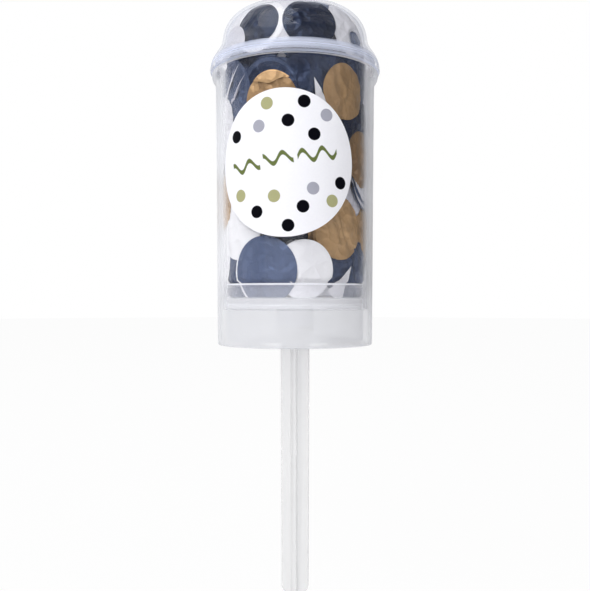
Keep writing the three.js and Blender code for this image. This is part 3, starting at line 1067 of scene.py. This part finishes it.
# %% Lay the discs under the sticker
lay_front("low_navy", "navy", -15.8, 97.8, 9.7, ridges=0.06, creases=0, curl=0, tone=0.5)
lay_front("low_rim", "white", -17, 97.6, 9.9, ridges=0.05, creases=0, curl=0, tone=0.9)
lay_front("low_white", "white", 14.5, 98, 8.4, ridges=0.05, creases=0, curl=0, tone=0.9)
lay_front("gold_low", "gold", 45.5, 109.8, 8.9, ridges=0.4, pleats=(0.4 * mm, 0.5, 1.4), tone=0.6)
lay_point("white_wedge", "white", 55, 99.2, 11, 236, 16, tone=0.6)
lay_front("slate_pleated", "navy", 57, 97.8, 9.6, pleats=(0.6 * mm, 0.9, 2.6), tone=0.25)
lay_front("white_left", "white", -42, 110.4, 9.4, ridges=0.1, tone=1.0)
lay_front("white_lower_left", "white", -78, 101, 9.4, ridges=0.1, tone=0.9)
lay_front("left_sliver", "navy", -46, 98.4, 9.0, ridges=0.3, tone=0.3)

# %% Lay a small fan of rims and a few more discs at the right
for i, colour in enumerate(("white", "navy", "white", "navy")):
    lay_front(f"fan_{i + 1}", colour, 80 - i, 126.6 - 0.8 * i, 8.4, tone=0.4)
lay_front("right_edge_high", "white", 92, 152, 8.5, ridges=0.3, tone=0.3)
lay_front("right_edge_middle", "white", 88, 137, 8.5, pleats=(0.4 * mm, 0, 2.0), tone=0.3)
lay_front("right_edge_gold", "gold", 84, 109.5, ridges=0.3, tone=0.4)
print(len(front_discs), "discs laid by hand")

# %% [markdown]
# ## The discs that the CAD places
# Each CAD disc stands for a small clump of tissue. Its first sheet lies where the CAD disc is, and
# the next one behind it, a little aside, like a fanned pack of cards. The discs nearest the wall go
# first, because those behind have to find their room.

# %% Where each CAD disc is
def lying(centre):
    """Places a point of a disc that lies flat in the tube."""
    return lambda point: centre + point


def facts_of(name):
    """Where a CAD disc is: its middle, direction, outer reach, and whether it lies flat."""
    corners = [vert.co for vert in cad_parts[name].data.vertices]
    centre = sum(corners, Vector()) / len(corners)
    low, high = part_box(name)
    outer = max(polar(corner)[2] for corner in corners)
    return centre, polar(centre)[0], outer, high[2] - low[2] < 2 * mm


# %% Dress each CAD disc
clump_sheets = 2
fan_out = 2.2
layer_step = 0.3 * mm
flat_step = 0.4 * mm


def lay_sheet(shape, name, dice, number):
    """Lays one sheet of the clump for a CAD disc; sheet 0 is where the disc is."""
    centre, azimuth, outer, flat = facts_of(name)
    aside = Vector((dice.uniform(-1, 1), dice.uniform(-1, 1), 0)) * fan_out * mm * number
    if flat:
        place = lying(centre + aside - Vector((0, 0, flat_step * number)))
    elif centre.z > globe_height:
        way, reach = polar(centre + aside)[1:]
        place = on_dome(azimuth + aside.x / outer, way, reach - layer_step * number)
    else:
        place = on_wall(
            azimuth + aside.x / outer, centre.z + aside.y, outer - layer_step * number,
            dice.uniform(-0.03, 0.03),
        )
    add_sheet(
        shape, fine_disc, dice, place, ridges=(0.16 + 0.3 * number) * mm,
        creases=0.12 * mm, curl=dice.uniform(0, 0.8) * mm,
    )


disc_nodes = [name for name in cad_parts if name.startswith("confetti_")]
disc_nodes.sort(key=lambda name: (-facts_of(name)[2], name))
clump_shapes = {name: empty_shape() for name in disc_nodes}
clump_dice = {name: random.Random(name) for name in disc_nodes}
for number in range(clump_sheets):
    for name in disc_nodes:
        lay_sheet(clump_shapes[name], name, clump_dice[name], number)
for name in disc_nodes:
    colour = name.split("_")[1]
    clump = sheets_object(name.replace("confetti", "tissue"), clump_shapes[name], colour)
    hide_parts(name)
print(len(disc_nodes), "clumps of", clump_sheets, "sheets")

# %% [markdown]
# ## The tissue behind
# Between the front discs one sees more tissue, never daylight. First, strongly crumpled sheets are
# laid in rows all round, behind the clumps, from the piston up into the dome. Then discs are
# strewn through the core, each leaning its own way, along the golden angle, which spreads them
# evenly with no grid. One object holds all the discs of a colour.

# %% Rows of crumpled sheets round the wall
behind_colours = ("navy", "navy", "gold", "navy", "white", "navy", "navy", "white", "navy", "gold")
row_count = 12
row_sheets = 14
row_low = inner_floor + 6.5 * mm
row_high = globe_height - 3 * mm
row_gap = 0.4 * mm
dome_gap = 0.5 * mm
collar_rows = 2
dome_rows = ((3 * mm, 11), (9 * mm, 10), (15 * mm, 7), (21 * mm, 4))

dice = random.Random("behind")
behind = {colour: empty_shape() for colour in tissues}
for row in range(row_count):
    height = row_low + (row_high - row_low) * row / (row_count - 1)
    near_collar = row >= row_count - collar_rows
    for i in range(row_sheets):
        azimuth = (i + 0.5 * (row % 2) + dice.uniform(-0.3, 0.3)) * 2 * math.pi / row_sheets
        colour = "navy" if near_collar else dice.choice(behind_colours)
        add_sheet(
            behind[colour], coarse_disc, dice,
            on_wall(azimuth, height, room_at(height) - row_gap, dice.uniform(-0.1, 0.1)),
            ridges=dice.uniform(0.4, 0.9) * mm, creases=0.3 * mm, curl=dice.uniform(0, 1.4) * mm,
        )
for rise, count in dome_rows:
    way = globe_height + rise
    for i in range(count):
        azimuth = (i + dice.uniform(0, 0.6)) * 2 * math.pi / count
        add_sheet(
            behind[dice.choice(behind_colours)], coarse_disc, dice,
            on_dome(azimuth, way, room_at(way) - dome_gap),
            ridges=dice.uniform(0.3, 0.7) * mm, creases=0.3 * mm, curl=dice.uniform(0, 1) * mm,
        )


# %% Discs strewn through the core
golden_turn = math.pi * (3 - math.sqrt(5))
golden_share = 0.618
core_count = 90
core_reach = 13 * mm
core_top = globe_height + 6 * mm


def strewn(azimuth, reach, height, tilt, swing):
    """Places a disc in the core, leaning by `tilt`, with its face turned by `swing`."""
    upright = Matrix.Rotation(math.radians(90) - tilt, 3, "X")
    outwards = Matrix.Rotation(azimuth + swing, 3, "Z") @ upright
    centre = Vector((reach * math.sin(azimuth), -reach * math.cos(azimuth), height))
    return lambda point: centre + outwards @ point


for i in range(core_count):
    reach = core_reach * math.sqrt((i * golden_share) % 1)
    height = row_low + (core_top - row_low) * (i + 0.5) / core_count
    place = strewn(
        i * golden_turn, reach, height, dice.uniform(-0.6, 0.8), dice.uniform(-0.7, 0.7),
    )
    add_sheet(
        behind[behind_colours[i % len(behind_colours)]], coarse_disc, dice, place,
        ridges=0.5 * mm, creases=0.5 * mm, curl=dice.uniform(0, 2) * mm,
    )
for colour, shape in behind.items():
    made = sheets_object(f"behind_{colour}", shape, colour)
    print(made.name, len(made.data.polygons), "faces")
